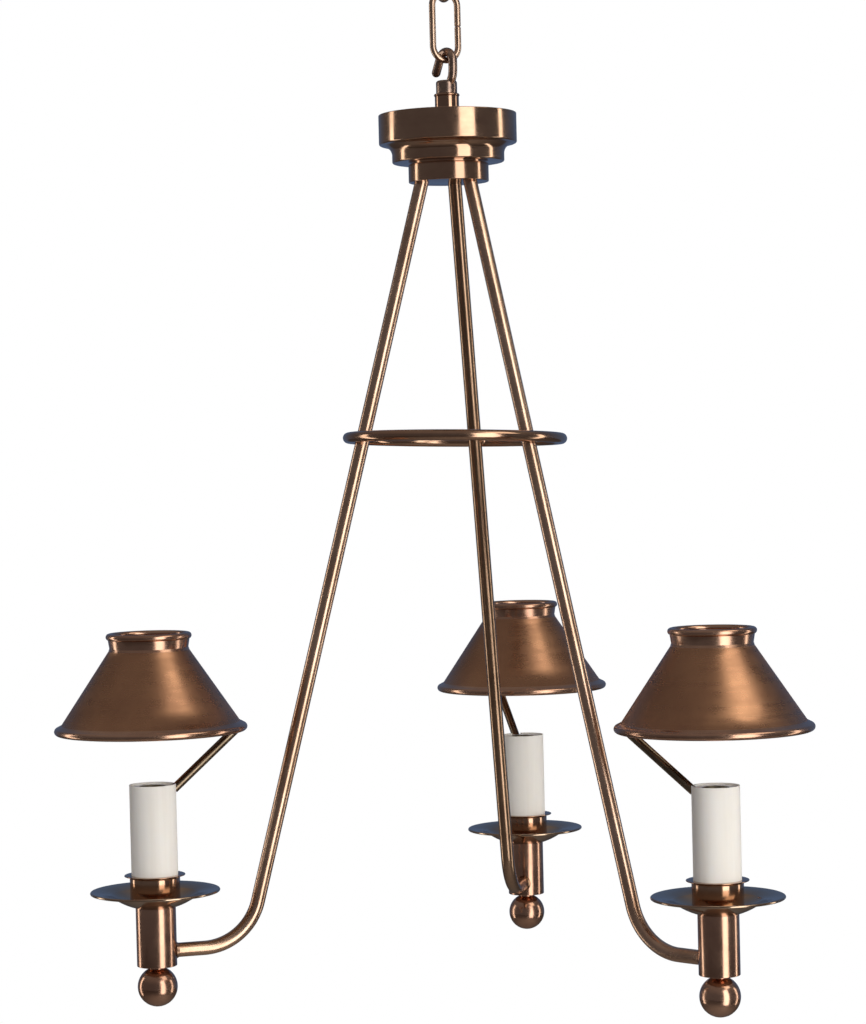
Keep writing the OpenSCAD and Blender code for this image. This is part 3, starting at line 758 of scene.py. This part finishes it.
inner = {"centre_rod": plainMetal, "rod_nut": plainMetal, "terminal_block": insulator}
for side in lampTurn:
    for part in ("nipple_", "screw_shell_", "lamp_contact_"):
        inner[part + side] = plainMetal
for node, material in inner.items():
    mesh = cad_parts[node].data
    for i in range(max(1, len(mesh.materials))):
        if len(mesh.materials) <= i:
            mesh.materials.append(material)
        mesh.materials[i] = material


# stage, light and camera

def makeFloor():
    size = {"half": 6.0, "z": -2.3}  # metres, well under the lamps
    mesh = bpy.data.meshes.new("floor")
    h, z = size["half"], size["z"]
    corners = [(-h, -h, z), (h, -h, z), (h, h, z), (-h, h, z)]
    mesh.from_pydata(corners, [], [(0, 1, 2, 3)])
    floor = bpy.data.objects.new("floor", mesh)
    bpy.context.scene.collection.objects.link(floor)
    material, nodes, links, shader = newMaterial("floorPale")
    shader.inputs["Base Color"].default_value = (0.3, 0.28, 0.26, 1.0)
    shader.inputs["Roughness"].default_value = 0.9
    glow = nodes.new("ShaderNodeEmission")
    glow.inputs["Strength"].default_value = 1.0
    seen = nodes.new("ShaderNodeLightPath")
    mix = nodes.new("ShaderNodeMixShader")
    links.new(seen.outputs["Is Camera Ray"], mix.inputs[0])
    links.new(shader.outputs[0], mix.inputs[1])
    links.new(glow.outputs[0], mix.inputs[2])
    links.new(mix.outputs[0], nodes["Material Output"].inputs["Surface"])
    mesh.materials.append(material)


def makeWorld():
    tones = {"front": (0.1, 0.095, 0.1), "above": (0.19, 0.172, 0.165), "behind": (0.085, 0.13, 0.23)}
    world = bpy.data.worlds.new("studio")
    bpy.context.scene.world = world
    world.use_nodes = True
    nodes, links = world.node_tree.nodes, world.node_tree.links
    nodes.clear()
    coord = nodes.new("ShaderNodeTexCoord")
    split = nodes.new("ShaderNodeSeparateXYZ")
    links.new(coord.outputs["Generated"], split.inputs[0])
    behind = rangeNode(nodes, links, split.outputs[1], 0.4, 0.95, 0.0, 1.0)
    above = rangeNode(nodes, links, split.outputs[2], 0.3, 0.8, 0.0, 1.0)
    colour = mixColour(nodes, links, above, tones["front"], tones["above"])
    colour = mixColour(nodes, links, behind, colour, tones["behind"])  # cool edges
    room = nodes.new("ShaderNodeBackground")
    links.new(colour, room.inputs["Color"])
    white = nodes.new("ShaderNodeBackground")
    white.inputs["Color"].default_value = (1, 1, 1, 1)
    seen = nodes.new("ShaderNodeLightPath")
    mix = nodes.new("ShaderNodeMixShader")
    links.new(seen.outputs["Is Camera Ray"], mix.inputs[0])
    links.new(room.outputs[0], mix.inputs[1])
    links.new(white.outputs[0], mix.inputs[2])
    out = nodes.new("ShaderNodeOutputWorld")
    links.new(mix.outputs[0], out.inputs["Surface"])


lampAim = (0, 0, -0.33)  # metres, the middle of the part


def makeLamp(name, settings):
    light = bpy.data.lights.new(name, "AREA")
    light.shape = "RECTANGLE"
    light.size, light.size_y = settings["wide"], settings["tall"]
    light.energy = settings["power"]
    light.color = settings["colour"]
    obj = bpy.data.objects.new(name, light)
    bpy.context.scene.collection.objects.link(obj)
    turn = math.radians(settings["turn"])
    target = Vector(lampAim)
    out = Vector((math.sin(turn), -math.cos(turn), 0)) * settings["away"]
    obj.location = target + out + Vector((0, 0, settings["rise"]))
    obj.rotation_euler = (target - obj.location).to_track_quat("-Z", "Y").to_euler()
    obj.visible_glossy = settings["shiny"]


# turn is measured from the front towards the right, round the hanging axis
lampSettings = {
    "keyStrip": {"turn": 45, "away": 1.9, "rise": -0.1, "wide": 0.9, "tall": 3.0, "power": 23.0,
                 "colour": (1.0, 0.98, 0.94), "shiny": True},
    "leftStrip": {"turn": -94, "away": 1.9, "rise": -0.25, "wide": 0.34, "tall": 2.0, "power": 5.2,
                  "colour": (1.0, 0.95, 0.86), "shiny": True},
    "rightStrip": {"turn": 111, "away": 1.9, "rise": -0.25, "wide": 0.3, "tall": 2.0, "power": 4.6,
                   "colour": (1.0, 0.95, 0.86), "shiny": True},
    "topSoft": {"turn": 70, "away": 1.05, "rise": 1.1, "wide": 0.8, "tall": 0.8, "power": 3.2,
                "colour": (1.0, 0.93, 0.8), "shiny": True},
    "frontFill": {"turn": 45, "away": 2.4, "rise": 0.6, "wide": 1.6, "tall": 1.6, "power": 34.0,
                  "colour": (1.0, 0.99, 0.98), "shiny": False},
    "backFill": {"turn": 190, "away": 2.4, "rise": 0.5, "wide": 1.6, "tall": 1.6, "power": 12.0,
                 "colour": (0.97, 0.98, 1.0), "shiny": False},
    "leftFill": {"turn": -50, "away": 2.4, "rise": 0.3, "wide": 1.4, "tall": 1.6, "power": 11.0,
                 "colour": (0.97, 0.98, 1.0), "shiny": False},
}
for name, settings in lampSettings.items():
    makeLamp(name, settings)
makeFloor()
makeWorld()


def makeCamera():
    # fitted to the photograph: distance, turn round the axis, pitch, yaw and roll
    size = {"away": 1.6712, "turn": 12.27, "z": -0.29515, "pitch": 0.0214, "yaw": 0.00817, "roll": 0.0241,
            "lens": 102.1, "sensor": 36.0}
    data = bpy.data.cameras.new("photoCamera")
    data.lens = size["lens"]
    data.sensor_width = size["sensor"]
    data.clip_start, data.clip_end = 0.01, 50.0
    camera = bpy.data.objects.new("photoCamera", data)
    bpy.context.scene.collection.objects.link(camera)
    turn = math.radians(size["turn"])
    spot = Vector((size["away"] * math.sin(turn), -size["away"] * math.cos(turn), size["z"]))
    ahead = Vector((-math.sin(turn), math.cos(turn), 0))
    right = Vector((math.cos(turn), math.sin(turn), 0))
    up = Vector((0, 0, 1))
    aim = (ahead * math.cos(size["yaw"]) - right * math.sin(size["yaw"])).normalized()
    side = aim.cross(up).normalized()
    look = (aim * math.cos(size["pitch"]) - up * math.sin(size["pitch"])).normalized()
    top = side.cross(look)
    cr, sr = math.cos(size["roll"]), math.sin(size["roll"])
    camRight = side * cr - top * sr
    camTop = side * sr + top * cr
    camera.matrix_world = Matrix((
        (camRight.x, camTop.x, -look.x, spot.x),
        (camRight.y, camTop.y, -look.y, spot.y),
        (camRight.z, camTop.z, -look.z, spot.z),
        (0, 0, 0, 1)))
    bpy.context.scene.camera = camera


makeCamera()
bpy.context.scene.view_settings.view_transform = "Standard"
print("stage: light and camera")
